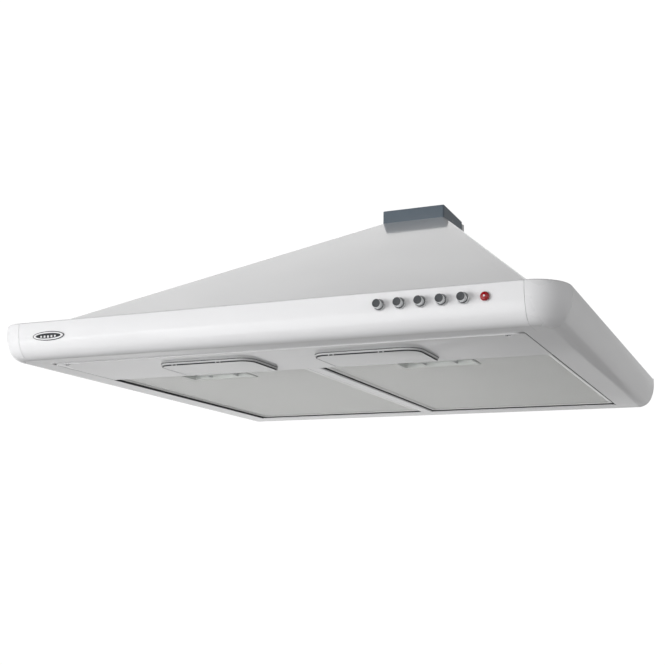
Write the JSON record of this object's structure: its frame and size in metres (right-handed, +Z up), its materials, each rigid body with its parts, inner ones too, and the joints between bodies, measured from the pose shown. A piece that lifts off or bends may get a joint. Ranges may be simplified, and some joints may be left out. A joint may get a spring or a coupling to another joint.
{
  "type": "cooker hood",
  "caption": "Wall-hung kitchen cooker hood: a low pyramid canopy on a rounded rim, with grease filters, covered lamps, push buttons and a fan inside.",
  "frame": {"origin": "centre of the four wall screw holes, on the back panel's wall face", "axes": "+X to the right seen from the front, +Y into the wall, +Z up"},
  "size_m": [0.6, 0.5625, 0.2792],
  "materials": {
    "white_paint": "smooth gloss white enamel",
    "white_plastic": "moulded white, semi-gloss",
    "zinc_steel": "galvanised sheet",
    "filter_aluminium": "bright, fine pressed mesh",
    "handle_plastic": "satin light grey",
    "dark_plastic": "satin black",
    "slate_plastic": "satin slate grey",
    "clear_plastic": "clear with fine ribs",
    "white_ceramic": "white heat-resistant",
    "bulb_glass": "frosted",
    "button_finish": "chrome barrel with a dark face",
    "chrome_trim": "polished",
    "bright_steel": "zinc-plated",
    "red_lens": "translucent red, polished",
    "motor_paint": "dark enamel",
    "box_plastic": "white moulded"
  },
  "bodies": {
    "hood": {"canopy_shell": "white_paint", "back_panel": "white_paint", "front_panel": "white_paint", "side_panel_left": "white_paint", "side_panel_right": "white_paint", "rear_rail": "white_paint", "centre_rail": "white_paint", "lamp_panel": "white_paint", "corner_cap_left": "white_plastic", "corner_cap_right": "white_plastic", "rear_hanger": "zinc_steel", "panel_brackets": "zinc_steel", "lamp_box_left": "zinc_steel", "lamp_box_right": "zinc_steel", "fan_housing": "zinc_steel", "fan_cheek_motor": "zinc_steel", "fan_cheek_inlet": "zinc_steel", "outlet_neck": "zinc_steel", "fan_brackets": "zinc_steel", "switch_bank": "dark_plastic", "indicator_lamp": "dark_plastic", "cable_gland": "dark_plastic", "capacitor": "dark_plastic", "duct_collar": "slate_plastic", "lamp_holder_left": "white_ceramic", "lamp_holder_right": "white_ceramic", "bulb_left": "bulb_glass", "bulb_right": "bulb_glass", "button_sleeves": "chrome_trim", "badge_plate": "chrome_trim", "panel_screws": "bright_steel", "damper_spindles": "bright_steel", "motor_bearings": "bright_steel", "indicator_lens": "red_lens", "motor_body": "motor_paint", "terminal_box": "box_plastic"},
    "button_1": {"button_1": "button_finish"},
    "button_2": {"button_2": "button_finish"},
    "button_3": {"button_3": "button_finish"},
    "button_4": {"button_4": "button_finish"},
    "button_5": {"button_5": "button_finish"},
    "filter_left": {"filter_frame_left": "filter_aluminium", "filter_mesh_left": "filter_aluminium", "filter_core_left": "filter_aluminium", "handle_cup_left": "handle_plastic", "latch_spring_left": "bright_steel"},
    "latch_left": {"latch_left": "dark_plastic"},
    "lamp_cover_left": {"lamp_cover_left": "clear_plastic"},
    "filter_right": {"filter_frame_right": "filter_aluminium", "filter_mesh_right": "filter_aluminium", "filter_core_right": "filter_aluminium", "handle_cup_right": "handle_plastic", "latch_spring_right": "bright_steel"},
    "latch_right": {"latch_right": "dark_plastic"},
    "lamp_cover_right": {"lamp_cover_right": "clear_plastic"},
    "flap_front": {"damper_flap_front": "filter_aluminium"},
    "flap_rear": {"damper_flap_rear": "filter_aluminium"},
    "rotor": {"fan_wheel": "filter_aluminium", "fan_shaft": "bright_steel"}
  },
  "joints": [
    {"name": "button_1_press", "type": "slide", "parent": "hood", "child": "button_1", "axis": [0, 1, 0], "range_m": [0, 0.0035], "stiffness_N_per_m": 220},
    {"name": "button_2_press", "type": "slide", "parent": "hood", "child": "button_2", "axis": [0, 1, 0], "range_m": [0, 0.0035], "stiffness_N_per_m": 220},
    {"name": "button_3_press", "type": "slide", "parent": "hood", "child": "button_3", "axis": [0, 1, 0], "range_m": [0, 0.0035], "stiffness_N_per_m": 220},
    {"name": "button_4_press", "type": "slide", "parent": "hood", "child": "button_4", "axis": [0, 1, 0], "range_m": [0, 0.0035], "stiffness_N_per_m": 220},
    {"name": "button_5_press", "type": "slide", "parent": "hood", "child": "button_5", "axis": [0, 1, 0], "range_m": [0, 0.0035], "stiffness_N_per_m": 220},
    {"name": "filter_left_swing", "type": "hinge", "parent": "hood", "child": "filter_left", "pos_m": [-0.13, -0.037, -0.096], "axis": [1, 0, 0], "range_deg": [0, 75]},
    {"name": "filter_right_swing", "type": "hinge", "parent": "hood", "child": "filter_right", "pos_m": [0.13, -0.037, -0.096], "axis": [1, 0, 0], "range_deg": [0, 75]},
    {"name": "latch_left_slide", "type": "slide", "parent": "filter_left", "child": "latch_left", "axis": [0, 1, 0], "range_m": [0, 0.005], "stiffness_N_per_m": 250, "deforming": ["latch_spring_left"]},
    {"name": "latch_right_slide", "type": "slide", "parent": "filter_right", "child": "latch_right", "axis": [0, 1, 0], "range_m": [0, 0.005], "stiffness_N_per_m": 250, "deforming": ["latch_spring_right"]},
    {"name": "lamp_cover_left_swing", "type": "hinge", "parent": "hood", "child": "lamp_cover_left", "pos_m": [-0.0895, -0.415, -0.1003], "axis": [1, 0, 0], "range_deg": [0, 75]},
    {"name": "lamp_cover_right_swing", "type": "hinge", "parent": "hood", "child": "lamp_cover_right", "pos_m": [0.0895, -0.415, -0.1003], "axis": [1, 0, 0], "range_deg": [0, 75]},
    {"name": "flap_front_swing", "type": "hinge", "parent": "hood", "child": "flap_front", "pos_m": [0, -0.0533, 0.164], "axis": [-1, 0, 0], "range_deg": [0, 75]},
    {"name": "flap_rear_swing", "type": "hinge", "parent": "hood", "child": "flap_rear", "pos_m": [0, -0.0481, 0.164], "axis": [1, 0, 0], "range_deg": [0, 75]},
    {"name": "fan_spin", "type": "hinge", "parent": "hood", "child": "rotor", "pos_m": [0, -0.092, 0.012], "axis": [1, 0, 0], "continuous": true}
  ]
}
